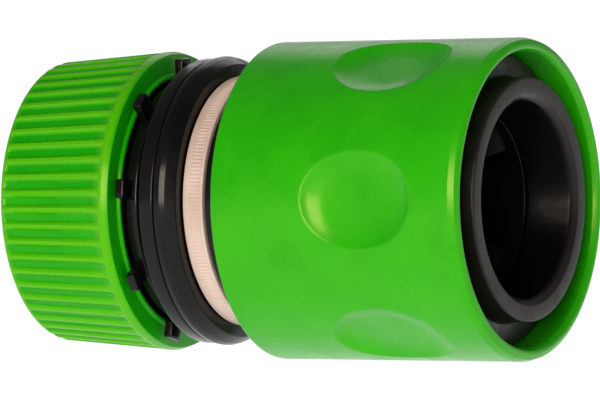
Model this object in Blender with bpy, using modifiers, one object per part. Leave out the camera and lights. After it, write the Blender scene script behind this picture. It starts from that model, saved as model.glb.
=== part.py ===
"""Garden-hose quick connector: push-on socket with a pull-back release sleeve
at one end, compression (clamp-nut) hose end at the other.

The fitting lies on its side. Its axis runs along +X, from the hose end (-X)
to the socket mouth (+X). Stations are measured along that axis in millimetres
from the hose end of the clamp nut; radii are in millimetres from the axis.
"""
import math

import bmesh
import bpy
from mathutils import Matrix, Vector

# ---------------------------------------------------------------- dimensions
MM = 0.001

LENGTH = 55.0            # nut end to socket mouth
SLEEVE_R = 16.75         # largest radius, at the mouth of the release sleeve
SLEEVE_R_REAR = 16.55    # the sleeve is drafted a little towards its rear edge
SLEEVE_SEG = 24

# clamp nut
NUT_FRONT = 13.55
NUT_R_REAR = 14.70
NUT_R_FRONT = 15.70
NUT_RIBS = 54
RIB_DEPTH = 0.32
NUT_ENTRY_R = 9.9        # clears a 1/2 inch hose

# thread between clamp nut and hose tail
THREAD_LEAD = 3.0
THREAD_ROOT_R = 11.9     # outside of the threaded skirt
THREAD_CREST_R = 12.65
NUT_BORE_R = 13.0
NUT_BEAD = (13.9, 13.45)  # raised bead round the bore: station, radius
NUT_THREAD_R = 12.3

# hose tail
TAIL_BORE_R = 4.5
BARB_R = 6.6
STEM_R = 5.9
BARB_TIP = 3.0
STOP_RING = (14.15, 15.55)
STOP_RING_R = 12.75
LUGS = 9
LUG_R = 15.0
LUG_WIDTH = 2.0
LUG_PHASE = 5.0          # degrees from the -Y side towards +Z

# collar, split between the two body halves
COLLAR_REAR = 16.8
COLLAR_JOINT = 18.6
COLLAR_FRONT = 21.0
COLLAR_R = 15.05

# socket
BORE_R = 8.8             # takes the usual 17.5 mm plug
SEAL_BORE_R = 7.6
TUBE_R = 11.2
LAND_R = 12.9
SOCKET_FRONT = 49.8
LIP_R = 12.67
LIP_BORE_R = 10.26

# release sleeve
SLEEVE_REAR = 26.3
SLEEVE_BORE_R = 13.35
SLEEVE_MOUTH_R = 15.3
SLEEVE_TRAVEL = 4.5
CAM_START = 44.6
CAM_SLOPE = 0.25
DIMPLES = 6
DIMPLE_STATION = 43.2
DIMPLE_DEPTH = 1.15

# locking claws
CLAWS = 4
CLAW_REAR = 44.9
CLAW_FRONT = 48.3
CLAW_TIP_R = 8.0
CLAW_TURN = 45.0

# grip collet
FINGERS = 8

# return spring
SPRING_WIRE_R = 0.5
SPRING_MEAN_R = 12.2
SPRING_REAR = 27.3
SPRING_FRONT = 41.3

AXIS_HEIGHT = SLEEVE_R * math.cos(math.pi / SLEEVE_SEG)

# --------------------------------------------------------------- clean scene
for old in list(bpy.data.objects):
    bpy.data.objects.remove(old, do_unlink=True)

scene = bpy.context.scene
parts = bpy.data.collections.new("hose_quick_connector")
cutters = bpy.data.collections.new("cutters")
scene.collection.children.link(parts)
scene.collection.children.link(cutters)

# The empty's local +Z is the fitting's axis, and its local +X points down.
axis = bpy.data.objects.new("fitting_axis", None)
axis.location = (-LENGTH / 2 * MM, 0.0, AXIS_HEIGHT * MM)
axis.rotation_euler = (0.0, math.pi / 2, 0.0)
parts.objects.link(axis)
bpy.context.view_layer.update()


# ----------------------------------------------------------------- materials
def material(name, colour, roughness, metallic=0.0):
    mat = bpy.data.materials.new(name)
    mat.use_nodes = True
    bsdf = mat.node_tree.nodes["Principled BSDF"]
    bsdf.inputs["Base Color"].default_value = (*colour, 1.0)
    bsdf.inputs["Roughness"].default_value = roughness
    bsdf.inputs["Metallic"].default_value = metallic
    mat.diffuse_color = (*colour, 1.0)
    return mat


GREEN = material("green_abs", (0.06, 0.42, 0.01), 0.28)
BLACK = material("black_abs", (0.012, 0.012, 0.013), 0.25)
PALE = material("pale_nylon", (0.68, 0.52, 0.42), 0.35)
ACETAL = material("black_acetal", (0.02, 0.018, 0.016), 0.3)
STEEL = material("spring_steel", (0.55, 0.55, 0.56), 0.3, 1.0)
RUBBER = material("black_rubber", (0.015, 0.015, 0.015), 0.6)


# ------------------------------------------------------------------- helpers
def link(obj, mat, collection=parts):
    collection.objects.link(obj)
    obj.parent = axis
    if mat is not None:
        obj.data.materials.clear()
        obj.data.materials.append(mat)
    return obj


def as_cutter(obj):
    obj.hide_render = True
    obj.display_type = 'WIRE'
    return obj


def turned(name, profile, steps, mat=None, collection=parts, turn=0.0, at=0.0):
    """Closed (radius, station) profile, outer side first and running down,
    turned about the fitting's axis. turn is a rotation in degrees."""
    mesh = bpy.data.meshes.new(name)
    bm = bmesh.new()
    verts = [bm.verts.new((r * MM, 0.0, (s - at) * MM)) for r, s in profile]
    for a, b in zip(verts, verts[1:] + verts[:1]):
        bm.edges.new((a, b))
    bm.to_mesh(mesh)
    bm.free()
    obj = bpy.data.objects.new(name, mesh)
    link(obj, mat, collection)
    obj.location = (0.0, 0.0, at * MM)
    obj.rotation_euler = (0.0, 0.0, math.radians(turn))
    screw = obj.modifiers.new("turn", 'SCREW')
    screw.axis = 'Z'
    screw.angle = 2 * math.pi
    screw.steps = steps
    screw.render_steps = steps
    screw.use_merge_vertices = True
    screw.merge_threshold = 0.00001
    screw.use_smooth_shade = True
    return obj


def sector(name, profile, start, sweep, steps, mat=None, collection=parts,
           rise=0.0):
    """Closed (radius, station) profile spun through part of a turn, in
    degrees from local +X. rise is the axial climb over the whole sweep, which
    makes a helical ridge."""
    mesh = bpy.data.meshes.new(name)
    bm = bmesh.new()
    a0 = math.radians(start)
    verts = [bm.verts.new((r * MM * math.cos(a0), r * MM * math.sin(a0), s * MM))
             for r, s in profile]
    face = bm.faces.new(verts)
    geom = [face] + list(face.edges) + list(face.verts)
    bmesh.ops.spin(bm, geom=geom, cent=(0, 0, 0), axis=(0, 0, 1),
                   dvec=(0, 0, rise * MM / steps), angle=math.radians(sweep),
                   steps=steps, use_duplicate=False)
    bmesh.ops.recalc_face_normals(bm, faces=bm.faces[:])
    bm.to_mesh(mesh)
    bm.free()
    obj = bpy.data.objects.new(name, mesh)
    return link(obj, mat, collection)


def lofted(name, rings, mat=None, collection=parts):
    """Solid through a row of equal-count rings of (x, y, station) points."""
    mesh = bpy.data.meshes.new(name)
    bm = bmesh.new()
    loops = [[bm.verts.new((x * MM, y * MM, s * MM)) for x, y, s in ring]
             for ring in rings]
    count = len(loops[0])
    for low, high in zip(loops, loops[1:]):
        for i in range(count):
            j = (i + 1) % count
            bm.faces.new((low[i], low[j], high[j], high[i]))
    bm.faces.new(loops[0])
    bm.faces.new(loops[-1])
    bmesh.ops.recalc_face_normals(bm, faces=bm.faces[:])
    bm.to_mesh(mesh)
    bm.free()
    obj = bpy.data.objects.new(name, mesh)
    return link(obj, mat, collection)


def block(name, low, high, turn, mat=None, collection=parts):
    """Box with its radial side along local +X, between two (radius, across,
    station) corners, turned about the axis by turn degrees."""
    mesh = bpy.data.meshes.new(name)
    bm = bmesh.new()
    bmesh.ops.create_cube(bm, size=1.0)
    size = Vector(high) - Vector(low)
    mid = (Vector(high) + Vector(low)) / 2
    bmesh.ops.scale(bm, vec=size * MM, verts=bm.verts[:])
    bmesh.ops.translate(bm, vec=mid * MM, verts=bm.verts[:])
    bm.to_mesh(mesh)
    bm.free()
    obj = bpy.data.objects.new(name, mesh)
    link(obj, mat, collection)
    obj.rotation_euler = (0.0, 0.0, math.radians(turn))
    return obj


def boolean(obj, other, operation):
    mod = obj.modifiers.new(operation.lower() + "_" + other.name, 'BOOLEAN')
    mod.operation = operation
    mod.solver = 'EXACT'
    mod.object = other
    return mod


def smooth(mesh, angle=32.0):
    mesh.shade_smooth()
    mesh.set_sharp_from_angle(angle=math.radians(angle))


def settle(obj, angle=32.0):
    """Replaces an object's mesh by its evaluated one, and drops the
    modifiers, so that the piece is plain geometry."""
    bpy.context.view_layer.update()
    graph = bpy.context.evaluated_depsgraph_get()
    mesh = bpy.data.meshes.new_from_object(obj.evaluated_get(graph))
    mats = [m for m in obj.data.materials if m is not None]
    obj.modifiers.clear()
    obj.data = mesh
    mesh.materials.clear()
    for m in mats[:1]:
        mesh.materials.append(m)
    for poly in mesh.polygons:
        poly.material_index = 0
    smooth(mesh, angle)
    return obj


def side_turn(degrees):
    """Local turn of a direction given in degrees from -Y towards +Z. Local +X
    is -Z and local +Y is +Y, so -Y lies at -90 and +Z at 180."""
    return -90.0 - degrees


def ring_points(radius, station, count, depth=0.0):
    """Round section, or a ribbed one when depth is given: every second point
    is a valley."""
    points = []
    for i in range(count):
        r = radius - (depth if i % 2 else 0.0)
        a = 2 * math.pi * i / count
        points.append((r * math.cos(a), r * math.sin(a), station))
    return points


# ----------------------------------------------------------------- clamp nut
def nut_radius(station):
    return NUT_R_REAR + (NUT_R_FRONT - NUT_R_REAR) * station / NUT_FRONT


n = 2 * NUT_RIBS
clamp_nut = lofted("clamp_nut", [
    ring_points(NUT_R_REAR - 0.75, 0.0, n),
    ring_points(NUT_R_REAR - 0.25, 0.3, n),
    ring_points(nut_radius(0.9), 0.9, n, RIB_DEPTH),
    ring_points(nut_radius(12.2), 12.2, n, RIB_DEPTH),
    ring_points(nut_radius(12.5), 12.5, n),
    ring_points(NUT_R_FRONT, NUT_FRONT - 0.25, n),
    ring_points(NUT_R_FRONT - 0.25, NUT_FRONT, n),
    ring_points(NUT_BEAD[1], NUT_FRONT, n),
    ring_points(NUT_BEAD[1] - 0.1, NUT_BEAD[0], n),
], GREEN)

# bore: hose entry, pocket for the collet's base ring, threaded bore
nut_bore = as_cutter(turned("nut_bore", [
    (NUT_BORE_R, NUT_FRONT + 1.0),
    (NUT_BORE_R, 5.4),
    (12.45, 4.8),
    (12.45, 2.0),
    (NUT_ENTRY_R, 2.0),
    (NUT_ENTRY_R, 0.4),
    (NUT_ENTRY_R + 0.4, -0.0),
    (NUT_ENTRY_R + 0.4, -1.0),
    (0.0, -1.0),
    (0.0, NUT_FRONT + 1.0),
], 40, None, cutters))
boolean(clamp_nut, nut_bore, 'DIFFERENCE')


def thread_ridge(name, root_r, crest_r, station, turns, start):
    """Right-hand trapezoidal ridge that climbs one lead a turn."""
    profile = [(root_r, station - 0.72), (crest_r, station - 0.32),
               (crest_r, station + 0.32), (root_r, station + 0.72)]
    return as_cutter(sector(name, profile, start, 360.0 * turns,
                            round(24 * turns), None, cutters,
                            rise=THREAD_LEAD * turns))


# The nut's ridge runs half a lead away from the tail's, so they mesh.
nut_ridge = thread_ridge("nut_ridge", NUT_BORE_R + 0.4, NUT_THREAD_R,
                         7.3 + THREAD_LEAD / 2, 1.0, 0.0)
boolean(clamp_nut, nut_ridge, 'UNION')
settle(clamp_nut, 25.0)

# ----------------------------------------------------------------- hose tail
hose_tail = turned("hose_tail", [
    (9.0, 24.4), (9.0, 23.0), (7.9, 23.0), (7.9, 21.5), (9.0, 21.5),
    (9.0, COLLAR_JOINT),
    (COLLAR_R - 0.2, COLLAR_JOINT), (COLLAR_R - 0.05, COLLAR_JOINT - 0.15),
    (COLLAR_R - 0.15, COLLAR_REAR + 0.45), (COLLAR_R - 0.55, COLLAR_REAR),
    (12.2, COLLAR_REAR), (12.2, STOP_RING[1]),
    (STOP_RING_R - 0.25, STOP_RING[1]), (STOP_RING_R, STOP_RING[1] - 0.25),
    (STOP_RING_R, STOP_RING[0] + 0.25), (STOP_RING_R - 0.25, STOP_RING[0]),
    (THREAD_ROOT_R, STOP_RING[0]), (THREAD_ROOT_R, 6.4),
    (11.4, 6.4), (9.9, 9.9), (9.9, 12.8),
    (STEM_R, 12.8), (STEM_R, 10.1),
    (BARB_R, 10.1), (STEM_R, 7.7), (BARB_R, 7.7), (STEM_R, 5.3),
    (BARB_R, 5.3), (5.4, BARB_TIP), (TAIL_BORE_R, BARB_TIP),
    (TAIL_BORE_R, 24.4),
], 40, BLACK)
tail_ridge = thread_ridge("tail_ridge", THREAD_ROOT_R - 0.35, THREAD_CREST_R,
                          7.3, 1.75, 0.0)
boolean(hose_tail, tail_ridge, 'UNION')
for k in range(LUGS):
    lug = block("stop_lug_%d" % (k + 1),
                (STOP_RING_R - 0.6, -LUG_WIDTH / 2, STOP_RING[0] + 0.02),
                (LUG_R, LUG_WIDTH / 2, STOP_RING[0] + 1.0),
                side_turn(LUG_PHASE + 360.0 * k / LUGS), None, cutters)
    as_cutter(lug)
    boolean(hose_tail, lug, 'UNION')
settle(hose_tail)

# --------------------------------------------------------------- grip collet
grip_collet = turned("grip_collet", [
    (12.15, 3.55), (12.15, 2.3), (10.0, 2.3), (10.0, 3.55),
], 40, BLACK)
settle(grip_collet)

# Eight film-hinged fingers reach into the tapered mouth of the threaded skirt.
finger_profile = [(11.75, 5.3), (11.55, 3.85), (10.0, 3.85), (9.35, 4.9),
                  (9.35, 8.5), (10.05, 8.5), (11.0, 6.4)]
for k in range(FINGERS):
    mid = side_turn(LUG_PHASE + 22.5 + 360.0 * k / FINGERS)
    finger = sector("collet_finger_%d" % (k + 1), finger_profile,
                    -18.0, 36.0, 5, BLACK)
    # origin on the finger's film hinge, at its root
    pivot = Vector((11.0 * MM, 0.0, 3.75 * MM))
    finger.data.transform(Matrix.Translation(-pivot))
    finger.rotation_euler = (0.0, 0.0, math.radians(mid))
    finger.location = Matrix.Rotation(math.radians(mid), 3, 'Z') @ pivot
    smooth(finger.data)

# --------------------------------------------------------------- body o-ring
o_mesh = bpy.data.meshes.new("body_o_ring")
body_o_ring = bpy.data.objects.new("body_o_ring", o_mesh)
bm = bmesh.new()
section = bmesh.ops.create_circle(bm, cap_ends=False, segments=8,
                                  radius=0.58 * MM)["verts"]
bmesh.ops.rotate(bm, verts=section, cent=(0, 0, 0),
                 matrix=Matrix.Rotation(math.pi / 2, 3, 'X'))
bmesh.ops.translate(bm, verts=section, vec=(8.6 * MM, 0, 22.25 * MM))
bmesh.ops.spin(bm, geom=bm.verts[:] + bm.edges[:], cent=(0, 0, 0),
               axis=(0, 0, 1), angle=2 * math.pi, steps=36,
               use_duplicate=False)
bmesh.ops.remove_doubles(bm, verts=bm.verts[:], dist=0.00001)
bmesh.ops.recalc_face_normals(bm, faces=bm.faces[:])
bm.to_mesh(o_mesh)
bm.free()
link(body_o_ring, RUBBER)
smooth(o_mesh, 60.0)

# --------------------------------------------------------------- socket body
socket_body = turned("socket_body", [
    (LAND_R, SOCKET_FRONT), (LAND_R, 44.0), (TUBE_R, 44.0), (TUBE_R, 27.0),
    (LAND_R, 27.0), (LAND_R, 23.7), (11.5, 23.7), (11.5, COLLAR_FRONT),
    (COLLAR_R - 0.6, COLLAR_FRONT), (COLLAR_R - 0.2, COLLAR_FRONT - 0.55),
    (COLLAR_R + 0.1, COLLAR_FRONT - 1.2), (COLLAR_R, COLLAR_JOINT + 0.35),
    (COLLAR_R - 0.15, COLLAR_JOINT + 0.2),
    (9.3, COLLAR_JOINT + 0.2), (9.3, 24.7), (5.0, 24.7), (5.0, 26.6),
    (SEAL_BORE_R, 28.0), (SEAL_BORE_R, 40.6), (BORE_R, 41.8),
    (BORE_R, SOCKET_FRONT),
    (10.5, SOCKET_FRONT), (10.5, 49.0), (11.7, 49.0), (11.7, SOCKET_FRONT),
], 40, BLACK)
for k in range(CLAWS):
    window = as_cutter(block("claw_window_%d" % (k + 1),
                             (7.0, -2.85, CLAW_REAR - 0.25),
                             (14.0, 2.85, CLAW_FRONT + 0.25),
                             CLAW_TURN + 360.0 * k / CLAWS, None, cutters))
    boolean(socket_body, window, 'DIFFERENCE')
settle(socket_body)

# ---------------------------------------------------------------- guide ring
# Split nylon ring, snapped into the groove in front of the collar. Its slit
# is on the +Y side.
guide_ring = sector("guide_ring", [
    (11.75, 21.15), (12.95, 21.15), (13.1, 21.3), (13.1, 21.85), (12.98, 22.0),
    (12.98, 23.05), (13.1, 23.2), (13.1, 23.4), (13.0, 23.5), (11.75, 23.5),
], 90.0 + 4.0, 352.0, 44, PALE)
smooth(guide_ring.data, 50.0)

# ------------------------------------------------------------- return spring
def spring_points():
    """Centre line of the spring: a nearly closed turn at each end, and three
    and a half open turns between."""
    per_turn = 16
    low = SPRING_REAR + SPRING_WIRE_R
    high = SPRING_FRONT - SPRING_WIRE_R
    dead = 2 * SPRING_WIRE_R + 0.12
    turns = 5.5
    total = round(per_turn * turns)
    points = []
    for i in range(total + 1):
        t = i / per_turn
        if t <= 1.0:
            s = low + dead * t
        elif t >= turns - 1.0:
            s = high - dead * (turns - t)
        else:
            s = low + dead + (high - low - 2 * dead) * (t - 1.0) / (turns - 2.0)
        a = 2 * math.pi * t
        points.append((SPRING_MEAN_R * MM * math.cos(a),
                       SPRING_MEAN_R * MM * math.sin(a), s * MM))
    return points


wire = bpy.data.curves.new("release_spring_wire", 'CURVE')
wire.dimensions = '3D'
wire.bevel_depth = SPRING_WIRE_R * MM
wire.bevel_resolution = 2
wire.use_fill_caps = True
points = spring_points()
spline = wire.splines.new('POLY')
spline.points.add(len(points) - 1)
for point, co in zip(spline.points, points):
    point.co = (*co, 1.0)
release_spring = link(bpy.data.objects.new("release_spring", wire), STEEL)

# ------------------------------------------------------------ release sleeve
release_sleeve = turned("release_sleeve", [
    (SLEEVE_R - 0.75, LENGTH), (SLEEVE_R - 0.22, LENGTH - 0.25),
    (SLEEVE_R, LENGTH - 0.85), (SLEEVE_R_REAR, SLEEVE_REAR + 0.35),
    (SLEEVE_R_REAR - 0.3, SLEEVE_REAR),
    (SLEEVE_BORE_R + 0.5, SLEEVE_REAR), (SLEEVE_BORE_R, SLEEVE_REAR + 0.5),
    (SLEEVE_BORE_R, 41.5), (11.6, 41.5), (11.6, 43.3), (13.3, 43.3),
    (13.3, CAM_START), (13.3 + CAM_SLOPE * 4.8, CAM_START + 4.8),
    (SLEEVE_MOUTH_R, 49.7), (SLEEVE_MOUTH_R, LENGTH - 0.8),
    (SLEEVE_MOUTH_R + 0.2, LENGTH - 0.22),
], SLEEVE_SEG, GREEN, turn=180.0 / SLEEVE_SEG)


def thumb_dimple(name, turn):
    """Round dish, turned about a radial line of the sleeve."""
    floor = SLEEVE_R - 0.08 - DIMPLE_DEPTH
    outline = [(0.0, 3.0), (7.6, 3.0), (7.0, DIMPLE_DEPTH + 0.5),
               (6.4, DIMPLE_DEPTH), (5.7, 0.5), (4.8, 0.14), (3.7, 0.0),
               (0.0, 0.0)]
    mesh = bpy.data.meshes.new(name)
    bm = bmesh.new()
    verts = [bm.verts.new((r * MM, 0.0, h * MM)) for r, h in outline]
    for a, b in zip(verts, verts[1:]):
        bm.edges.new((a, b))
    bmesh.ops.spin(bm, geom=bm.verts[:] + bm.edges[:], cent=(0, 0, 0),
                   axis=(0, 0, 1), angle=2 * math.pi, steps=28,
                   use_duplicate=False)
    bmesh.ops.remove_doubles(bm, verts=bm.verts[:], dist=0.00001)
    bmesh.ops.recalc_face_normals(bm, faces=bm.faces[:])
    bm.to_mesh(mesh)
    bm.free()
    # no corner of the dish falls on an edge line of the sleeve
    mesh.transform(Matrix.Rotation(math.radians(4.3), 4, 'Z'))
    # stand the dish on the sleeve: its own +Z points away from the axis
    mesh.transform(Matrix.Rotation(math.pi / 2, 4, 'Y'))
    mesh.transform(Matrix.Translation((floor * MM, 0.0, DIMPLE_STATION * MM)))
    obj = bpy.data.objects.new(name, mesh)
    link(obj, None, cutters)
    obj.rotation_euler = (0.0, 0.0, math.radians(turn))
    return as_cutter(obj)


for k in range(DIMPLES):
    boolean(release_sleeve,
            thumb_dimple("thumb_dimple_%d" % (k + 1),
                         side_turn(360.0 * k / DIMPLES)), 'DIFFERENCE')
settle(release_sleeve)

# --------------------------------------------------------------- locking claws
def cam_radius(station):
    return 13.3 + CAM_SLOPE * (station - CAM_START)


claw_profile = [
    (cam_radius(CLAW_FRONT) - 0.3, CLAW_FRONT),
    (cam_radius(CLAW_REAR) - 0.3, CLAW_REAR),
    (9.0, CLAW_REAR), (CLAW_TIP_R, CLAW_REAR + 0.5),
    (CLAW_TIP_R, CLAW_REAR + 1.5), (9.3, CLAW_FRONT),
]
for k in range(CLAWS):
    claw = sector("claw_%d" % (k + 1), claw_profile, -11.0, 22.0, 4, ACETAL)
    claw.rotation_euler = (0.0, 0.0,
                           math.radians(CLAW_TURN + 360.0 * k / CLAWS))
    smooth(claw.data)

# ----------------------------------------------------------------- nose ring
nose_ring = turned("nose_ring", [
    (LIP_R - 0.25, LENGTH - 0.05), (LIP_R, LENGTH - 0.3), (LIP_R, 52.1),
    (LIP_R + 0.3, 51.8), (14.9, 51.8), (15.05, 51.65), (15.05, 50.0),
    (11.55, 50.0), (11.55, 49.2), (10.65, 49.2), (10.65, 50.0),
    (BORE_R, 50.0), (BORE_R, 50.2), (LIP_BORE_R, LENGTH - 0.65),
    (LIP_BORE_R + 0.2, LENGTH - 0.4), (LIP_BORE_R + 0.7, LENGTH - 0.05),
], 48, BLACK, turn=180.0 / 48)
settle(nose_ring)

bpy.context.view_layer.update()
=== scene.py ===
import math

import bmesh
import bpy
import numpy as np
from mathutils import Matrix, Vector


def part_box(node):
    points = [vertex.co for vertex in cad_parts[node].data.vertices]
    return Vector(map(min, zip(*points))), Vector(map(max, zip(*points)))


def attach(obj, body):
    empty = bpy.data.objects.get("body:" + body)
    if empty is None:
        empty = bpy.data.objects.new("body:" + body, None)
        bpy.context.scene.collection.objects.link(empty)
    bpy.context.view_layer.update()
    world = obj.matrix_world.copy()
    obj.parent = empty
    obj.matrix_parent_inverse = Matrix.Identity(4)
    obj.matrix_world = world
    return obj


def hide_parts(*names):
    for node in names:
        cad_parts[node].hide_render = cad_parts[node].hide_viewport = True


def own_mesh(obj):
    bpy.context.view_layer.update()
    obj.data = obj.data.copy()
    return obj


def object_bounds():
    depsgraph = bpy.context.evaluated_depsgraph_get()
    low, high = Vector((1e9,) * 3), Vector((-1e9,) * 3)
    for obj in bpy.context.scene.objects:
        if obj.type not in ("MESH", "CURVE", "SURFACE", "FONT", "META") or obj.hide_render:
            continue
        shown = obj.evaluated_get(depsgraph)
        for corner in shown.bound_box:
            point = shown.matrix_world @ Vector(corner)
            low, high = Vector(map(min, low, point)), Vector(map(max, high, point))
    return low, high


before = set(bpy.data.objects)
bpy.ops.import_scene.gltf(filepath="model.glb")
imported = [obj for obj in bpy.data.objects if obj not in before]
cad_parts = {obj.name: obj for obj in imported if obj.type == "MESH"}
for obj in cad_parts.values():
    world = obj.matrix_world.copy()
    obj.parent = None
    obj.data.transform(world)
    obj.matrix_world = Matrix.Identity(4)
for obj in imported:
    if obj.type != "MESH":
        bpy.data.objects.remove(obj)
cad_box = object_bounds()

# ------------------------------------------------------------------ the frame
# Stations run along the fitting's axis, in mm from the hose end of the nut.
MM = 0.001
low, high = [list(p) for p in cad_box]
X0 = low[0]
sleeve_low, sleeve_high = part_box("release_sleeve")
AXIS_Z = (sleeve_low[2] + sleeve_high[2]) / 2
# The CAD sleeve has 24 flats, one of them at the bottom, so its corners stand
# a little further out than its box.
SLEEVE_R = (sleeve_high[1] - sleeve_low[1]) / 2 / MM / math.cos(math.pi / 24)
LENGTH = (high[0] - low[0]) / MM


def station(node):
    a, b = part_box(node)
    return (a[0] - X0) / MM, (b[0] - X0) / MM


nut_s = station("clamp_nut")
sleeve_s = station("release_sleeve")
nose_s = station("nose_ring")
guide_s = station("guide_ring")
claw_s = station("claw_1")
spring_s = station("release_spring")


# -------------------------------------------------------------- mesh building
def fillet(loop, default=0.0):
    """Closed (station, radius[, fillet]) polygon with each corner rounded."""
    pts = [(p[0], p[1], p[2] if len(p) > 2 else default) for p in loop]
    out = []
    n = len(pts)
    for i in range(n):
        p = np.array(pts[i][:2], float)
        a = np.array(pts[i - 1][:2], float) - p
        b = np.array(pts[(i + 1) % n][:2], float) - p
        la, lb = np.linalg.norm(a), np.linalg.norm(b)
        r = pts[i][2]
        if r <= 0 or la < 1e-6 or lb < 1e-6:
            out.append(tuple(p))
            continue
        a, b = a / la, b / lb
        ang = math.acos(max(-1, min(1, float(a @ b))))
        if ang > math.pi - 0.05:
            out.append(tuple(p))
            continue
        t = r / math.tan(ang / 2)
        limit = 0.49 * min(la, lb)
        if t > limit:
            t = limit
            r = t * math.tan(ang / 2)
        s, e = p + a * t, p + b * t
        c = p + (a + b) / np.linalg.norm(a + b) * (r / math.sin(ang / 2))
        v0, v1 = s - c, e - c
        sweep = math.pi - ang
        steps = max(2, int(math.ceil(sweep / math.radians(15))))
        a0 = math.atan2(v0[1], v0[0])
        cross = v0[0] * v1[1] - v0[1] * v1[0]
        sgn = 1 if cross > 0 else -1
        for k in range(steps + 1):
            th = a0 + sgn * sweep * k / steps
            out.append((c[0] + r * math.cos(th), c[1] + r * math.sin(th)))
    return out


def refine(loop, longest):
    """Splits the long edges of a closed polygon. longest is a number, or a
    function of the edge's middle (station, radius) and direction."""
    out = []
    n = len(loop)
    for i in range(n):
        p, q = np.array(loop[i]), np.array(loop[(i + 1) % n])
        out.append(tuple(p))
        size = np.linalg.norm(q - p)
        cap = longest((p + q) / 2, q - p) if callable(longest) else longest
        k = int(math.ceil(size / cap))
        for j in range(1, k):
            out.append(tuple(p + (q - p) * j / k))
    return out


def make_object(name, verts, faces, mat, angle=38.0):
    mesh = bpy.data.meshes.new(name)
    mesh.from_pydata(verts, [], faces)
    mesh.update()
    bm = bmesh.new()
    bm.from_mesh(mesh)
    if bm.calc_volume(signed=True) < 0:
        bmesh.ops.reverse_faces(bm, faces=bm.faces[:])
    bm.to_mesh(mesh)
    bm.free()
    obj = bpy.data.objects.new(name, mesh)
    bpy.context.scene.collection.objects.link(obj)
    if mat is not None:
        mesh.materials.append(mat)
    mesh.shade_smooth()
    mesh.set_sharp_from_angle(angle=math.radians(angle))
    return obj


def polar(s, r, phi):
    """World point. phi runs from -Y (the near side) towards +Z."""
    return (X0 + s * MM, -r * math.cos(phi) * MM, AXIS_Z + r * math.sin(phi) * MM)


def revolve(name, loop, segs, mat, warp=None, angle=38.0, start=0.0,
            sweep=360.0):
    """Turns a closed (station, radius) polygon about the axis. warp(s, r, phi)
    gives arrays of new (s, r, phi) points. A sweep under 360 leaves end caps."""
    prof = np.array(loop)
    m = len(prof)
    full = sweep >= 360.0 - 1e-6
    count = segs if full else segs + 1
    phis = np.radians(start + sweep * np.arange(count) / segs)
    S = np.repeat(prof[None, :, 0], count, axis=0)
    R = np.repeat(prof[None, :, 1], count, axis=0)
    P = np.repeat(phis[:, None], m, axis=1)
    if warp is not None:
        S, R, P = warp(S, R, P)
    X = X0 + S * MM
    Y = -R * np.cos(P) * MM
    Z = AXIS_Z + R * np.sin(P) * MM
    verts = np.stack([X, Y, Z], axis=2).reshape(-1, 3).tolist()
    faces = []
    for i in range(segs):
        a = i * m
        b = ((i + 1) % count) * m
        for j in range(m):
            k = (j + 1) % m
            faces.append((a + j, a + k, b + k, b + j))
    if not full:
        faces.append(tuple(range(m)))
        faces.append(tuple(reversed(range((count - 1) * m, count * m))))
    return make_object(name, verts, faces, mat, angle)


def rounded_block(name, size, edge, segments, mat, matrix):
    """Box of the given size in mm, its edges rounded, placed by a matrix."""
    mesh = bpy.data.meshes.new(name)
    bm = bmesh.new()
    bmesh.ops.create_cube(bm, size=1.0)
    bmesh.ops.scale(bm, vec=Vector(size) * MM, verts=bm.verts[:])
    bmesh.ops.bevel(bm, geom=bm.edges[:], offset=edge * MM, segments=segments,
                    affect='EDGES', profile=0.5)
    bmesh.ops.transform(bm, matrix=matrix, verts=bm.verts[:])
    bm.to_mesh(mesh)
    bm.free()
    obj = bpy.data.objects.new(name, mesh)
    bpy.context.scene.collection.objects.link(obj)
    mesh.materials.append(mat)
    mesh.shade_smooth()
    return obj


def apply_all(obj, angle=38.0):
    bpy.context.view_layer.update()
    graph = bpy.context.evaluated_depsgraph_get()
    mesh = bpy.data.meshes.new_from_object(obj.evaluated_get(graph))
    obj.modifiers.clear()
    obj.data = mesh
    mesh.shade_smooth()
    mesh.set_sharp_from_angle(angle=math.radians(angle))
    return obj


def cut(obj, cutter, operation='DIFFERENCE'):
    mod = obj.modifiers.new("cut", 'BOOLEAN')
    mod.operation = operation
    mod.solver = 'EXACT'
    mod.object = cutter
    apply_all(obj)
    bpy.data.objects.remove(cutter, do_unlink=True)
    return obj


def smoothstep(a, b, x):
    t = np.clip((x - a) / (b - a), 0.0, 1.0)
    return t * t * (3 - 2 * t)


# ------------------------------------------------------------------ materials
def node_material(name):
    mat = bpy.data.materials.new(name)
    mat.use_nodes = True
    tree = mat.node_tree
    bsdf = tree.nodes["Principled BSDF"]
    return mat, tree, bsdf


def noise(tree, coord, scale, detail=3.0, rough=0.5, distortion=0.0):
    node = tree.nodes.new("ShaderNodeTexNoise")
    node.inputs["Scale"].default_value = scale
    node.inputs["Detail"].default_value = detail
    node.inputs["Roughness"].default_value = rough
    node.inputs["Distortion"].default_value = distortion
    tree.links.new(coord, node.inputs["Vector"])
    return node.outputs["Fac"]


def ramp(tree, fac, stops):
    node = tree.nodes.new("ShaderNodeValToRGB")
    elements = node.color_ramp.elements
    while len(elements) < len(stops):
        elements.new(0.5)
    for el, (pos, col) in zip(elements, stops):
        el.position = pos
        el.color = (*col, 1.0) if len(col) == 3 else col
    tree.links.new(fac, node.inputs["Fac"])
    return node.outputs["Color"]


def map_range(tree, fac, lo, hi, a=0.0, b=1.0):
    node = tree.nodes.new("ShaderNodeMapRange")
    node.inputs["From Min"].default_value = a
    node.inputs["From Max"].default_value = b
    node.inputs["To Min"].default_value = lo
    node.inputs["To Max"].default_value = hi
    tree.links.new(fac, node.inputs["Value"])
    return node.outputs["Result"]


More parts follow.
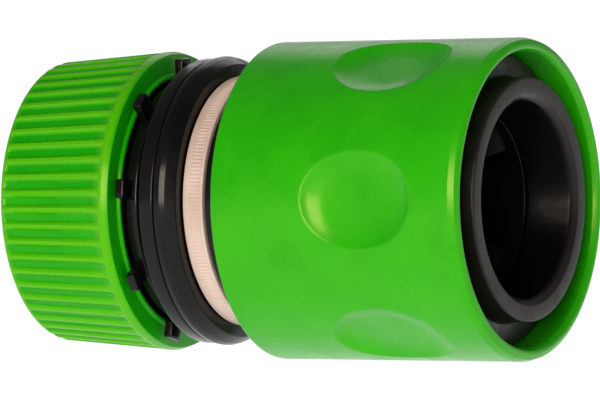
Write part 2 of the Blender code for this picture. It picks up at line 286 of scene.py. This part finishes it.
def plastic(name, dark, base, light, rough, micro=900.0, micro_height=0.00001,
            flow=55.0, flow_height=0.00004, specular=0.5, coat=0.0, tint=None,
            scratches=0.0):
    """Moulded plastic: slightly uneven pigment, fine moulding texture, the
    slow waviness of a moulded wall, and a few faint handling scratches."""
    mat, tree, bsdf = node_material(name)
    coord = tree.nodes.new("ShaderNodeTexCoord").outputs["Object"]
    pigment = noise(tree, coord, 130.0, 4.0, 0.6)
    colour = ramp(tree, pigment, [(0.25, dark), (0.5, base), (0.78, light)])
    tree.links.new(colour, bsdf.inputs["Base Color"])
    smear = noise(tree, coord, 240.0, 3.0, 0.65, 0.4)
    tree.links.new(map_range(tree, smear, rough[0], rough[1], 0.3, 0.7),
                   bsdf.inputs["Roughness"])
    fine = noise(tree, coord, micro, 2.0)
    wave = noise(tree, coord, flow, 1.0)
    bump_fine = tree.nodes.new("ShaderNodeBump")
    bump_fine.inputs["Strength"].default_value = 0.5
    bump_fine.inputs["Distance"].default_value = micro_height
    tree.links.new(fine, bump_fine.inputs["Height"])
    bump_wave = tree.nodes.new("ShaderNodeBump")
    bump_wave.inputs["Strength"].default_value = 0.6
    bump_wave.inputs["Distance"].default_value = flow_height
    tree.links.new(wave, bump_wave.inputs["Height"])
    tree.links.new(bump_fine.outputs["Normal"], bump_wave.inputs["Normal"])
    last = bump_wave
    if scratches:
        stretch = tree.nodes.new("ShaderNodeMapping")
        stretch.inputs["Scale"].default_value = (60.0, 900.0, 900.0)
        tree.links.new(coord, stretch.inputs["Vector"])
        lines = noise(tree, stretch.outputs["Vector"], 1.0, 2.0, 0.5, 0.3)
        thin = map_range(tree, lines, 0.0, 1.0, 0.62, 0.7)
        bump_line = tree.nodes.new("ShaderNodeBump")
        bump_line.inputs["Strength"].default_value = scratches
        bump_line.inputs["Distance"].default_value = 0.00001
        bump_line.invert = True
        tree.links.new(thin, bump_line.inputs["Height"])
        tree.links.new(last.outputs["Normal"], bump_line.inputs["Normal"])
        last = bump_line
    tree.links.new(last.outputs["Normal"], bsdf.inputs["Normal"])
    bsdf.inputs["Specular IOR Level"].default_value = specular
    if tint:
        bsdf.inputs["Specular Tint"].default_value = (*tint, 1.0)
    if coat:
        bsdf.inputs["Coat Weight"].default_value = coat
        bsdf.inputs["Coat Roughness"].default_value = 0.12
    mat.diffuse_color = (*base, 1.0)
    return mat


GREEN = plastic("green_abs_moulded", (0.008, 0.315, 0.0006),
                (0.013, 0.36, 0.0008), (0.022, 0.40, 0.0010), (0.22, 0.34),
                flow_height=0.000015, specular=0.42, tint=(1.0, 0.95, 0.35),
                scratches=0.25)
BLACK = plastic("black_abs_moulded", (0.0016, 0.0016, 0.0018),
                (0.0030, 0.0030, 0.0032), (0.0060, 0.0056, 0.0058),
                (0.12, 0.24), flow_height=0.00002, specular=0.22,
                scratches=0.2)
PALE = plastic("pale_nylon_moulded", (0.50, 0.37, 0.31), (0.64, 0.50, 0.44),
               (0.72, 0.58, 0.52), (0.3, 0.45), micro=1500.0)
ACETAL = plastic("black_acetal_moulded", (0.0020, 0.0018, 0.0016),
                 (0.0036, 0.0032, 0.0028), (0.0060, 0.0052, 0.0046),
                 (0.25, 0.4), specular=0.08)
# the nose ring is rubbed by every plug that goes in, so it is duller; its bore is painted
# near black below, as painted shade
WORN_AND_BORE_SHADE = plastic("black_abs_worn_bore_shaded", (0.0040, 0.0034, 0.0030),
               (0.0090, 0.0074, 0.0066), (0.0180, 0.0145, 0.0125),
               (0.20, 0.46), micro=1300.0, micro_height=0.00002,
               flow_height=0.00002, specular=0.15, scratches=0.6)


def axis_distance(tree):
    """Distance from the fitting's axis, in m, on an object kept in place."""
    coord = tree.nodes.new("ShaderNodeTexCoord").outputs["Object"]
    flat = tree.nodes.new("ShaderNodeVectorMath")
    flat.operation = 'MULTIPLY_ADD'
    tree.links.new(coord, flat.inputs[0])
    flat.inputs[1].default_value = (0.0, 1.0, 1.0)
    flat.inputs[2].default_value = (0.0, 0.0, -AXIS_Z)
    size = tree.nodes.new("ShaderNodeVectorMath")
    size.operation = 'LENGTH'
    tree.links.new(flat.outputs["Vector"], size.inputs[0])
    return coord, size.outputs["Value"]


def mixed_base(tree, bsdf, fac, colour, invert=False):
    """Mixes the base colour so far with another, which shows where fac is 0,
    or where it is 1 with invert."""
    so_far = bsdf.inputs["Base Color"].links[0].from_socket
    mix = tree.nodes.new("ShaderNodeMixRGB")
    tree.links.new(fac, mix.inputs["Fac"])
    own, other = ("Color1", "Color2") if invert else ("Color2", "Color1")
    tree.links.new(so_far, mix.inputs[own])
    mix.inputs[other].default_value = (*colour, 1.0)
    tree.links.new(mix.outputs["Color"], bsdf.inputs["Base Color"])


def painted_bore_shade(mat, inner, outer):
    """Keeps the dull, greyed surface to the rim: inside the smaller of two
    radii in mm the plastic is painted near black, as painted shade deep in
    the bore, and barely shines."""
    tree = mat.node_tree
    bsdf = tree.nodes["Principled BSDF"]
    fac = map_range(tree, axis_distance(tree)[1], 0.0, 1.0, inner * MM,
                    outer * MM)
    mixed_base(tree, bsdf, fac, (0.0014, 0.0013, 0.0013))
    tree.links.new(map_range(tree, fac, 0.05, 0.26),
                   bsdf.inputs["Specular IOR Level"])


def painted_rib_light(mat, rear, front, last, depth):
    """Paints the tops of the ribs paler than the grooves between them: a
    painted highlight on the crests and painted shade in the grooves. The
    ribs' tops lie on a cone from the rear radius to the front one at the
    last station, all in mm."""
    tree = mat.node_tree
    bsdf = tree.nodes["Principled BSDF"]
    coord, radius = axis_distance(tree)
    split = tree.nodes.new("ShaderNodeSeparateXYZ")
    tree.links.new(coord, split.inputs["Vector"])
    top = map_range(tree, split.outputs["X"], rear * MM, front * MM,
                    X0, X0 + last * MM)
    below = tree.nodes.new("ShaderNodeMath")
    below.operation = 'SUBTRACT'
    tree.links.new(radius, below.inputs[0])
    tree.links.new(top, below.inputs[1])
    fac = map_range(tree, below.outputs["Value"], 0.0, 1.0, -0.85 * depth * MM,
                    -0.25 * depth * MM)
    mixed_base(tree, bsdf, fac, (0.068, 0.415, 0.0012), invert=True)


# painted shade: the nose ring's bore is painted near black
painted_bore_shade(WORN_AND_BORE_SHADE, 10.15, 10.6)
RIB_H = 0.36
NUT_FRONT = nut_s[1] - 0.35   # front face, behind the bead round the bore
NUT_GREEN = plastic("green_abs_ribbed", (0.003, 0.285, 0.0008),
                    (0.005, 0.325, 0.0010), (0.009, 0.36, 0.0012),
                    (0.22, 0.34), flow_height=0.000015, specular=0.30,
                    tint=(1.0, 0.95, 0.35), scratches=0.25)
# painted highlight on the nut's rib tops, painted shade in the grooves between them
painted_rib_light(NUT_GREEN, 14.70, 15.70, NUT_FRONT, RIB_H)


def steel_material():
    mat, tree, bsdf = node_material("zinc_spring_wire")
    coord = tree.nodes.new("ShaderNodeTexCoord").outputs["Object"]
    patch = noise(tree, coord, 420.0, 4.0, 0.6)
    tree.links.new(ramp(tree, patch, [(0.2, (0.38, 0.37, 0.36)),
                                      (0.55, (0.6, 0.6, 0.61)),
                                      (0.85, (0.72, 0.72, 0.74))]),
                   bsdf.inputs["Base Color"])
    tree.links.new(map_range(tree, patch, 0.22, 0.4), bsdf.inputs["Roughness"])
    draw = noise(tree, coord, 2600.0, 2.0)
    bump = tree.nodes.new("ShaderNodeBump")
    bump.inputs["Strength"].default_value = 0.4
    bump.inputs["Distance"].default_value = 0.00001
    tree.links.new(draw, bump.inputs["Height"])
    tree.links.new(bump.outputs["Normal"], bsdf.inputs["Normal"])
    bsdf.inputs["Metallic"].default_value = 1.0
    return mat


def rubber_material():
    mat, tree, bsdf = node_material("nitrile_rubber")
    coord = tree.nodes.new("ShaderNodeTexCoord").outputs["Object"]
    bloom = noise(tree, coord, 500.0, 5.0, 0.7)
    tree.links.new(ramp(tree, bloom, [(0.3, (0.008, 0.008, 0.008)),
                                      (0.75, (0.022, 0.022, 0.021))]),
                   bsdf.inputs["Base Color"])
    tree.links.new(map_range(tree, bloom, 0.5, 0.75), bsdf.inputs["Roughness"])
    bump = tree.nodes.new("ShaderNodeBump")
    bump.inputs["Strength"].default_value = 0.5
    bump.inputs["Distance"].default_value = 0.00002
    tree.links.new(bloom, bump.inputs["Height"])
    tree.links.new(bump.outputs["Normal"], bsdf.inputs["Normal"])
    return mat


STEEL = steel_material()
RUBBER = rubber_material()


def place(piece, body, slot, *nodes):
    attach(piece, body)
    if nodes:
        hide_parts(*nodes)
    return piece


# ------------------------------------------------------------- release sleeve
DIMPLES = 6
DIMPLE_S = sleeve_s[0] + 16.9
DIMPLE_DEPTH = 1.15


def dish(rho):
    """Height of the thumb dish above its floor, by distance from its middle."""
    return DIMPLE_DEPTH * (0.55 * (rho / 6.4) ** 6 +
                           0.45 * (np.clip(rho - 2.4, 0, None) / 4.0) ** 2)


def sleeve_warp(S, R, P):
    outer = R > 15.6
    P2, R2 = P.copy(), R.copy()
    floor = SLEEVE_R - 0.08 - DIMPLE_DEPTH
    for k in range(DIMPLES):
        mid = 2 * math.pi * k / DIMPLES
        d = (P - mid + math.pi) % (2 * math.pi) - math.pi
        t = R * np.sin(d)
        h = R * np.cos(d)
        near = outer & (np.abs(d) < 0.5) & (np.abs(S - DIMPLE_S) < 8.0)
        f = floor + dish(np.sqrt((S - DIMPLE_S) ** 2 + t ** 2))
        soft = 0.07
        w = np.clip(0.5 + 0.5 * (f - h) / soft, 0, 1)
        hh = f * (1 - w) + h * w - soft * w * (1 - w)
        R_new = np.hypot(t, hh)
        P_new = mid + np.arctan2(t, hh)
        R2 = np.where(near, R_new, R2)
        P2 = np.where(near, P_new, P2)
    return S, R2, P2


L = LENGTH
r_mouth = SLEEVE_R
r_rear = SLEEVE_R - 0.19
s0 = sleeve_s[0]
sleeve_loop = fillet([
    (L, r_mouth - 0.72, 0.12), (L - 0.25, r_mouth - 0.22, 0.22),
    (L - 0.95, r_mouth, 0.30), (s0, r_rear, 0.30), (s0, 13.95, 0.12),
    (s0 + 0.6, 13.37, 0.15), (41.5, 13.37, 0.2), (41.5, 11.62, 0.25),
    (43.3, 11.62, 0.25), (43.3, 13.32, 0.15), (44.6, 13.32, 0.4),
    (49.4, 14.52, 0.08), (49.7, 15.30, 0.12), (L - 0.6, 15.32, 0.15),
    (L, 15.62, 0.30),
])
sleeve_loop = refine(sleeve_loop, lambda mid, d: 0.16 if mid[1] > 15.7 and
                     abs(mid[0] - DIMPLE_S) < 8.5 else 0.8)
sleeve = revolve("sleeve_shell", sleeve_loop, 480, GREEN, sleeve_warp, 45.0)
place(sleeve, "release_sleeve", "green_abs", "release_sleeve")

# ------------------------------------------------------------------ clamp nut
RIBS = 54
n1 = NUT_FRONT


def nut_r(s):
    return 14.70 + 1.0 * s / n1


THREAD_LEAD = 3.0
THREAD_S = 7.3


def helix(S, P, offset):
    """Distance in mm from the middle of a ridge that climbs one lead a turn.
    The angle is counted the way the frame's thread turns about +X."""
    turn = (-P - math.pi / 2) % (2 * math.pi)
    d = S - THREAD_S - offset - THREAD_LEAD * turn / (2 * math.pi)
    d = (d + THREAD_LEAD / 2) % THREAD_LEAD - THREAD_LEAD / 2
    return np.abs(d)


def nut_warp(S, R, P):
    R2 = R.copy()
    rib_phase = (P * RIBS / (2 * math.pi)) % 1.0
    d = np.abs(rib_phase - 0.5)
    crest = 1 - smoothstep(0.13, 0.27, d)
    outer = R > 14.0
    window = smoothstep(0.25, 0.9, S) * (1 - smoothstep(n1 - 1.35,
                                                       n1 - 1.05, S))
    R2 = np.where(outer & (S < n1 - 0.9),
                  R2 - RIB_H * window * (1 - crest), R2)
    inner = (R < 13.2) & (R > 12.9) & (S > 5.2)
    ridge = 1 - smoothstep(0.30, 0.74, helix(S, P, THREAD_LEAD / 2))
    fade = smoothstep(7.2, 8.4, S) * (1 - smoothstep(11.2, 12.4, S))
    R2 = np.where(inner, R2 - 0.68 * ridge * fade, R2)
    return S, R2, P


nut_loop = fillet([
    (n1, 15.44, 0.12), (n1 - 0.72, 15.70, 0.12),
    (n1 - 1.2, nut_r(n1 - 1.2) + 0.04, 0.0),
    (0.0, 14.70, 0.85), (0.0, 9.9, 0.35), (2.0, 9.9, 0.12), (2.0, 12.45, 0.3),
    (4.8, 12.45, 0.1), (5.4, 13.0, 0.1), (nut_s[1], 13.0, 0.12),
    (nut_s[1], 13.42, 0.16), (n1, 13.48, 0.10),
])
nut_loop = refine(nut_loop, lambda mid, d:
                  0.2 if 12.9 < mid[1] < 13.1 else
                  (0.18 if mid[1] > 14 and (mid[0] > n1 - 1.6 or mid[0] < 1.2)
                   else 0.9))
nut = revolve("nut_shell", nut_loop, RIBS * 10, NUT_GREEN, nut_warp, 45.0)
place(nut, "clamp_nut", "green_abs", "clamp_nut")

# ------------------------------------------------------------------ hose tail
STOP0, STOP1 = 14.15, 15.55
COLLAR_JOINT = 18.6


def tail_warp(S, R, P):
    skirt = (R > 11.8) & (R < 12.0) & (S > 6.8) & (S < STOP0 - 0.1)
    ridge = 1 - smoothstep(0.30, 0.74, helix(S, P, 0.0))
    fade = smoothstep(7.0, 8.0, S) * (1 - smoothstep(12.2, 13.4, S))
    return S, np.where(skirt, R + 0.72 * ridge * fade, R), P


tail_loop = fillet([
    (24.4, 9.0, 0.3), (23.0, 9.0, 0.1), (23.0, 7.9, 0.15), (21.5, 7.9, 0.15),
    (21.5, 9.0, 0.1), (COLLAR_JOINT, 9.0, 0.1),
    (COLLAR_JOINT, 14.98, 0.20), (16.8, 14.92, 0.48),
    (16.8, 12.2, 0.25), (STOP1, 12.2, 0.25), (STOP1, 12.75, 0.26),
    (STOP0, 12.75, 0.26), (STOP0, 11.9, 0.2), (6.4, 11.9, 0.15),
    (6.4, 11.4, 0.12), (9.9, 9.9, 0.3), (12.8, 9.9, 0.5), (12.8, 5.9, 0.5),
    (10.1, 5.9, 0.15), (10.1, 6.6, 0.12), (7.7, 5.9, 0.15), (7.7, 6.6, 0.12),
    (5.3, 5.9, 0.15), (5.3, 6.6, 0.12), (3.0, 5.4, 0.3), (3.0, 4.5, 0.25),
    (24.4, 4.5, 0.2),
])
tail_loop = refine(tail_loop, lambda mid, d:
                   0.2 if 11.8 < mid[1] < 12.0 and 6.4 < mid[0] < STOP0
                   else 1.2)
tail = revolve("tail_shell", tail_loop, 256, BLACK, tail_warp)
place(tail, "main_body", "black_abs", "hose_tail")

LUGS = 9
LUG_PHASE = 5.0
for k in range(LUGS):
    phi = math.radians(LUG_PHASE + 360.0 * k / LUGS)
    radial = Vector((0.0, -math.cos(phi), math.sin(phi)))
    along = Vector((1.0, 0.0, 0.0))
    across = radial.cross(along)
    rot = Matrix((along, across, radial)).transposed().to_4x4()
    mid = Vector(polar(STOP0 + 0.51, 13.6, phi))
    lug = rounded_block("stop_lug_%d" % (k + 1), (0.98, 2.0, 2.8), 0.18, 3,
                        BLACK, Matrix.Translation(mid) @ rot)
    place(lug, "main_body", "black_abs")

# ---------------------------------------------------------------- socket body
socket_loop = fillet([
    (49.8, 12.9, 0.15), (44.0, 12.9, 0.2), (44.0, 11.2, 0.3), (27.0, 11.2, 0.3),
    (27.0, 12.95, 0.25), (23.7, 12.95, 0.12), (23.7, 11.5, 0.1),
    (21.0, 11.5, 0.1), (21.0, 14.28, 0.20), (20.02, 14.95, 0.15),
    (19.42, 15.16, 0.35), (18.75, 15.06, 0.18),
    (18.75, 9.3, 0.1), (24.7, 9.3, 0.2), (24.7, 5.0, 0.2), (26.6, 5.0, 0.6),
    (28.0, 7.6, 0.3), (40.6, 7.6, 0.4), (41.8, 8.8, 0.4), (49.8, 8.8, 0.1),
    (49.8, 10.5, 0.05), (49.0, 10.5, 0.1), (49.0, 11.7, 0.1), (49.8, 11.7, 0.05),
])
socket_loop = refine(socket_loop, 1.5)
socket = revolve("socket_shell", socket_loop, 192, BLACK)
CLAW_TURN = 45.0
for k in range(4):
    phi = math.radians(CLAW_TURN + 90.0 * k)
    radial = Vector((0.0, -math.cos(phi), math.sin(phi)))
    along = Vector((1.0, 0.0, 0.0))
    across = radial.cross(along)
    rot = Matrix((along, across, radial)).transposed().to_4x4()
    mid = Vector(polar((claw_s[0] + claw_s[1]) / 2, 10.6, phi))
    window = rounded_block("window_%d" % k, (claw_s[1] - claw_s[0] + 0.5, 5.7, 7.0),
                           0.25, 2, BLACK, Matrix.Translation(mid) @ rot)
    cut(socket, window)
place(socket, "main_body", "black_abs", "socket_body")

# ----------------------------------------------------------------- guide ring
RING_TEETH = 200
g0, g1 = guide_s


def ring_warp(S, R, P):
    tooth = 0.5 + 0.5 * np.cos(P * RING_TEETH)
    band = (R > 12.6) * smoothstep(g0 + 0.70, g0 + 0.92, S) \
        * (1 - smoothstep(g1 - 0.52, g1 - 0.36, S))
    return S, R - 0.11 * band * tooth, P


ring_loop = fillet([
    (g1, 11.75, 0.1), (g1, 13.09, 0.14), (g1 - 0.34, 13.09, 0.08),
    (g1 - 0.46, 12.99, 0.08), (g0 + 0.86, 12.99, 0.08),
    (g0 + 0.72, 13.09, 0.08), (g0, 13.09, 0.18), (g0, 11.75, 0.1),
])
ring_loop = refine(ring_loop, 0.14)
ring = revolve("guide_band", ring_loop, 1408, PALE, ring_warp, 60.0,
               start=180.0 + 4.0, sweep=352.0)
place(ring, "main_body", "pale_nylon", "guide_ring")

# ------------------------------------------------------------------ nose ring
q0, q1 = nose_s
nose_loop = fillet([
    (q1, 12.67, 0.28), (51.8, 12.67, 0.28),
    (51.8, 15.05, 0.12), (50.0, 15.05, 0.15), (50.0, 11.57, 0.05),
    (q0, 11.57, 0.1), (q0, 10.63, 0.1), (50.0, 10.63, 0.05), (50.0, 8.8, 0.05),
    (50.25, 8.8, 0.4), (q1 - 0.65, 10.26, 0.12), (q1 - 0.42, 10.46, 0.15),
    (q1, 10.96, 0.12),
])
nose_loop = refine(nose_loop, 1.2)
nose = revolve("nose_shell", nose_loop, 256, WORN_AND_BORE_SHADE)
place(nose, "main_body", "black_abs", "nose_ring")

# -------------------------------------------------------------- locking claws
cam0, cam_slope, cam_r = 44.6, 0.25, 13.3
for k in range(4):
    c0, c1 = claw_s
    loop = fillet([
        (c1, cam_r + cam_slope * (c1 - cam0) - 0.3, 0.25),
        (c0, cam_r + cam_slope * (c0 - cam0) - 0.3, 0.25),
        (c0, 9.0, 0.2), (c0 + 0.5, 8.0, 0.25), (c0 + 1.5, 8.0, 0.3),
        (c1, 9.3, 0.3)])
    # the CAD claws start below the axis and follow the frame's turn about +X
    claw = revolve("claw_block_%d" % (k + 1), loop, 12, ACETAL,
                   start=-90.0 - (CLAW_TURN + 90.0 * k) - 11.0, sweep=22.0)
    bevel = claw.modifiers.new("edge", 'BEVEL')
    bevel.width = 0.12 * MM
    bevel.segments = 2
    bevel.limit_method = 'ANGLE'
    bevel.angle_limit = math.radians(60)
    apply_all(claw)
    place(claw, "claw_%d" % (k + 1), "black_acetal", "claw_%d" % (k + 1))

# ----------------------------------------------------------------- grip collet
b0, b1 = station("grip_collet")
collet = revolve("collet_ring", fillet([
    (b1, 12.15, 0.2), (b0, 12.15, 0.3), (b0, 10.0, 0.3), (b1, 10.0, 0.2)]),
    192, BLACK)
place(collet, "grip_collet", "black_abs", "grip_collet")

finger_loop = [(5.3, 11.75, 0.2), (3.87, 11.55, 0.15), (3.87, 10.0, 0.2)]
s = 4.7
while s < 8.0:                       # gripping teeth, raked towards the socket
    finger_loop += [(s, 9.62, 0.05), (s + 0.62, 9.36, 0.05),
                    (s + 0.72, 9.64, 0.05)]
    s += 0.95
finger_loop += [(8.5, 9.5, 0.1), (8.5, 10.05, 0.12), (6.4, 11.0, 0.3)]
finger_loop = fillet(finger_loop)
for k in range(8):
    body = "collet_finger_%d" % (k + 1)
    mid = LUG_PHASE + 22.5 + 45.0 * k
    finger = revolve("finger_jaw_%d" % (k + 1), finger_loop, 20, BLACK,
                     start=mid - 17.6, sweep=35.2)
    place(finger, body, "black_abs", body)

# ---------------------------------------------------------------------- o-ring
o_low, o_high = station("body_o_ring")
o_mid, o_r = (o_low + o_high) / 2, (o_high - o_low) / 2 * 0.97
o_loop = [(o_mid + o_r * math.cos(math.radians(a)),
           8.6 + o_r * math.sin(math.radians(a))) for a in range(0, 360, 15)]
oring = revolve("o_ring_cord", o_loop, 144, RUBBER, angle=60.0)
place(oring, "main_body", "black_rubber", "body_o_ring")

# --------------------------------------------------------------- return spring
WIRE_R = 0.5
per_turn, turns = 48, 5.5
lo, hi = spring_s[0] + WIRE_R, spring_s[1] - WIRE_R
dead = 2 * WIRE_R + 0.12
pts = []
for i in range(int(per_turn * turns) + 1):
    t = i / per_turn
    if t <= 1:
        s = lo + dead * t
    elif t >= turns - 1:
        s = hi - dead * (turns - t)
    else:
        s = lo + dead + (hi - lo - 2 * dead) * (t - 1) / (turns - 2)
    a = -math.pi / 2 - 2 * math.pi * t
    pts.append(polar(s, 12.2, a))
curve = bpy.data.curves.new("spring_wire", 'CURVE')
curve.dimensions = '3D'
curve.bevel_depth = WIRE_R * MM * 0.98
curve.bevel_resolution = 5
curve.use_fill_caps = True
spline = curve.splines.new('POLY')
spline.points.add(len(pts) - 1)
for p, co in zip(spline.points, pts):
    p.co = (*co, 1.0)
curve.materials.append(STEEL)
temp = bpy.data.objects.new("spring_curve", curve)
bpy.context.scene.collection.objects.link(temp)
bpy.context.view_layer.update()
mesh = bpy.data.meshes.new_from_object(
    temp.evaluated_get(bpy.context.evaluated_depsgraph_get()))
bpy.data.objects.remove(temp, do_unlink=True)
bm = bmesh.new()
bm.from_mesh(mesh)
bmesh.ops.remove_doubles(bm, verts=bm.verts[:], dist=1e-6)
bm.to_mesh(mesh)
bm.free()
mesh.shade_smooth()
mesh.set_sharp_from_angle(angle=math.radians(50))
spring = bpy.data.objects.new("spring_coil", mesh)
bpy.context.scene.collection.objects.link(spring)
place(spring, "main_body", "spring_steel", "release_spring")
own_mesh(spring)

# ---------------------------------------------------------------------- stage
def stage_plane(name, size, location, rotation, mat):
    mesh = bpy.data.meshes.new(name)
    bm = bmesh.new()
    bmesh.ops.create_grid(bm, x_segments=1, y_segments=1, size=size / 2)
    bm.to_mesh(mesh)
    bm.free()
    obj = bpy.data.objects.new(name, mesh)
    bpy.context.scene.collection.objects.link(obj)
    obj.location = location
    obj.rotation_euler = rotation
    mesh.materials.append(mat)
    return obj


FLOOR_GLOW = 1.02
CEILING = (0.17, 0.17, 0.18)
# A back-lit white table: it carries its own even light, so it stays white.
floor_mat, ftree, fbsdf = node_material("studio_floor")
fcoord = ftree.nodes.new("ShaderNodeTexCoord").outputs["Object"]
ftree.links.new(ramp(ftree, noise(ftree, fcoord, 6.0, 2.0),
                     [(0.3, (0.99, 0.99, 0.99)), (0.7, (1.0, 1.0, 1.0))]),
                fbsdf.inputs["Emission Color"])
fbsdf.inputs["Emission Strength"].default_value = FLOOR_GLOW
fbsdf.inputs["Base Color"].default_value = (0.12, 0.12, 0.12, 1.0)
fbsdf.inputs["Roughness"].default_value = 0.9
fbsdf.inputs["Specular IOR Level"].default_value = 0.05
stage_plane("studio_floor", 8.0, (0.0, 0.0, -0.0004), (0, 0, 0), floor_mat)

# studio walls, a dimmer ceiling, and a white backdrop behind the table
BACKDROP = (-math.sin(math.radians(28.65)), math.cos(math.radians(28.65)), 0.0)
world = bpy.data.worlds.new("studio")
bpy.context.scene.world = world
world.use_nodes = True
wtree = world.node_tree
bg = wtree.nodes["Background"]
wdir = wtree.nodes.new("ShaderNodeTexCoord").outputs["Generated"]
wsplit = wtree.nodes.new("ShaderNodeSeparateXYZ")
wtree.links.new(wdir, wsplit.inputs["Vector"])
wdot = wtree.nodes.new("ShaderNodeVectorMath")
wdot.operation = 'DOT_PRODUCT'
wtree.links.new(wdir, wdot.inputs[0])
wdot.inputs[1].default_value = BACKDROP
wmix = wtree.nodes.new("ShaderNodeMixRGB")
wtree.links.new(map_range(wtree, wdot.outputs["Value"], 0.0, 1.0, 0.93, 0.985),
                wmix.inputs["Fac"])
wtree.links.new(ramp(wtree, wsplit.outputs["Z"],
                     [(0.12, (0.42, 0.42, 0.42)), (0.5, CEILING)]),
                wmix.inputs["Color1"])
wmix.inputs["Color2"].default_value = (1.05, 1.05, 1.05, 1.0)
wtree.links.new(wmix.outputs["Color"], bg.inputs["Color"])
bg.inputs["Strength"].default_value = 1.0


def area_light(name, location, target, size, radiance, colour=(1, 1, 1),
               size_y=None):
    """Rectangular light, its strength given as the brightness of its face."""
    data = bpy.data.lights.new(name, 'AREA')
    data.shape = 'RECTANGLE'
    data.size = size
    data.size_y = size_y or size
    data.energy = radiance * math.pi * data.size * data.size_y
    data.color = colour
    obj = bpy.data.objects.new(name, data)
    bpy.context.scene.collection.objects.link(obj)
    obj.location = location
    direction = Vector(target) - Vector(location)
    obj.rotation_euler = direction.to_track_quat('-Z', 'Y').to_euler()
    return obj


target = Vector(((low[0] + high[0]) / 2, 0.0, AXIS_Z))


def around(azimuth, elevation, distance):
    """Point seen from the fitting's middle. Azimuth runs from -Y to +X."""
    a, e = math.radians(azimuth), math.radians(elevation)
    return target + distance * Vector((math.cos(e) * math.sin(a),
                                       -math.cos(e) * math.cos(a), math.sin(e)))


area_light("softbox", around(12.0, 3.0, 0.55), target, 0.27, 10.0,
           (1.0, 0.88, 0.74), 0.42)
area_light("flash", around(25.0, 1.5, 0.9), target, 0.06, 60.0,
           (1.0, 0.84, 0.76))
area_light("back_fill", around(200.0, 40.0, 0.9), target, 0.5, 1.1)

# --------------------------------------------------------------------- camera
AZ = 28.65
DIST = 1.0
view = around(AZ, 0.0, 1.0) - target
right = Vector((-view.y, view.x, 0.0))
cam_data = bpy.data.cameras.new("camera")
cam_data.sensor_width = 36.0
cam_data.sensor_fit = 'HORIZONTAL'
PX_PER_MM = 9.57
cam_data.lens = PX_PER_MM * 36.0 * DIST * 1000.0 / 600.0
cam_data.clip_start = 0.05
cam_data.clip_end = 50.0
cam = bpy.data.objects.new("camera", cam_data)
bpy.context.scene.collection.objects.link(cam)
aim = target + right * (0.36 * MM) + Vector((0, 0, 0.04 * MM))
roll = Matrix.Rotation(math.radians(-0.20), 4, view)
cam.matrix_world = roll @ Matrix.LocRotScale(None, (-view).to_track_quat('-Z', 'Y'), None)
cam.matrix_world.translation = aim + view * DIST
bpy.context.scene.camera = cam

view_settings = bpy.context.scene.view_settings
view_settings.view_transform = 'Standard'
view_settings.look = 'None'
view_settings.exposure = 0.0
view_settings.gamma = 1.0
